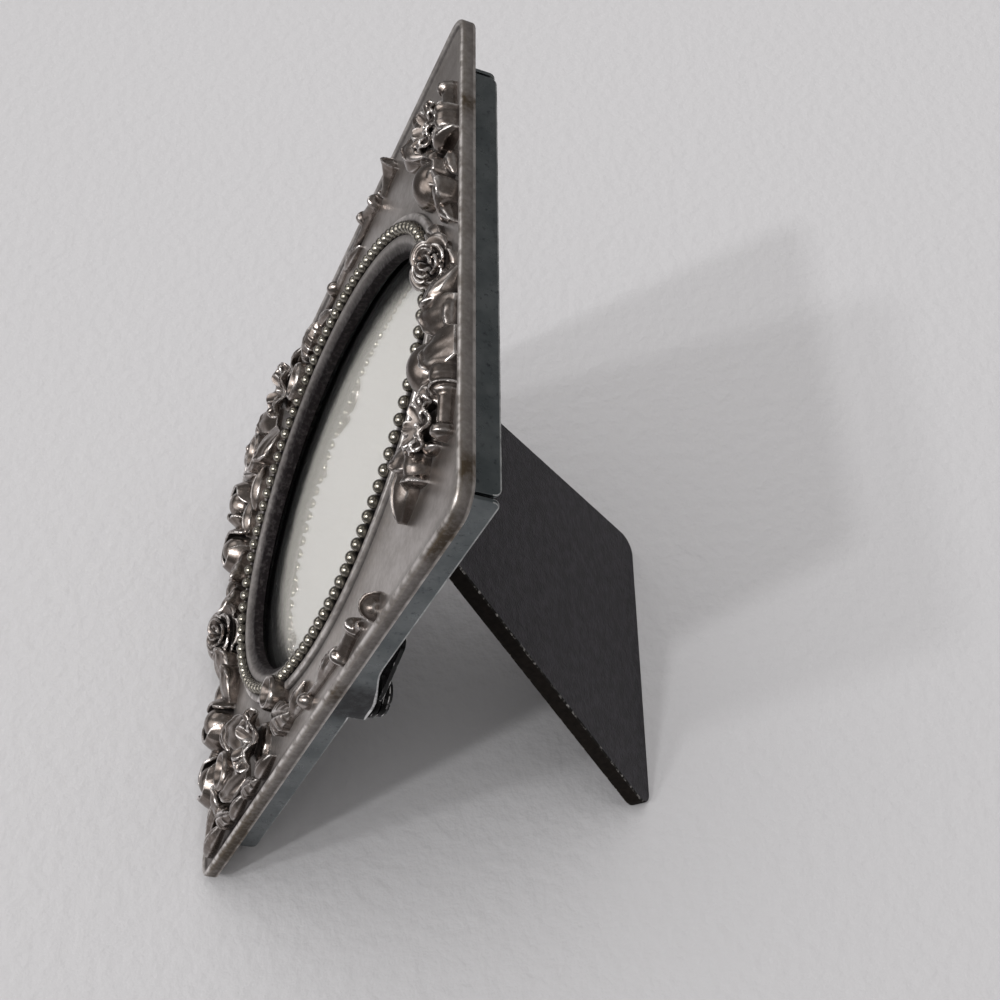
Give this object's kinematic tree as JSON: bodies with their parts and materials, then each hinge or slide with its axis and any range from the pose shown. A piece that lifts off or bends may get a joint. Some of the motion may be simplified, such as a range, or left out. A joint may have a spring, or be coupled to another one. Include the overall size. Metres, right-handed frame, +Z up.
{
  "type": "picture frame with an oval opening",
  "caption": "Small rectangular picture frame with a beaded oval opening, garland relief, a sheet tray closed by turn buttons and a hinged easel leg.",
  "frame": {"origin": "middle of the bounding box on the table, under the standing frame", "axes": "+Z up, -Y to the viewer in front of the face, +Y to the leg, +X to the face's right"},
  "size_m": [0.074, 0.0662, 0.0929],
  "materials": {
    "antiqued_casting": "antiqued silver, dark in the recesses",
    "tray_sheet": "dull dark sheet",
    "pane": "clear",
    "insert": "plain cream card",
    "covered_board": "charcoal leatherette on board",
    "black_metal": "black gloss",
    "hinge_metal": "dull zinc"
  },
  "bodies": {
    "frame": {"face_plate": "antiqued_casting", "back_tray": "tray_sheet", "glass_pane": "pane", "picture_card": "insert", "back_board": "covered_board", "button_screw_right": "black_metal", "button_screw_left": "black_metal", "hinge_board_leaf": "hinge_metal", "hinge_pin": "hinge_metal", "board_tack_1": "hinge_metal", "board_tack_2": "hinge_metal"},
    "leg": {"easel_leg": "covered_board", "hinge_leg_leaf": "hinge_metal", "leg_tack_1": "hinge_metal", "leg_tack_2": "hinge_metal"},
    "button_right": {"turn_button_right": "black_metal"},
    "button_left": {"turn_button_left": "black_metal"}
  },
  "joints": [
    {"name": "leg_fold", "type": "hinge", "parent": "frame", "child": "leg", "pos_m": [0.0027, 0.00001, 0.05537], "axis": [-1, 0, 0], "range_deg": [0, 50]},
    {"name": "button_right_turn", "type": "hinge", "parent": "frame", "child": "button_right", "pos_m": [0.0296, -0.00431, 0.04178], "axis": [0, 0.9214, -0.3886], "range_deg": [0, 110]},
    {"name": "button_left_turn", "type": "hinge", "parent": "frame", "child": "button_left", "pos_m": [-0.0296, -0.00431, 0.04178], "axis": [0, -0.9214, 0.3886], "range_deg": [0, 110]}
  ]
}
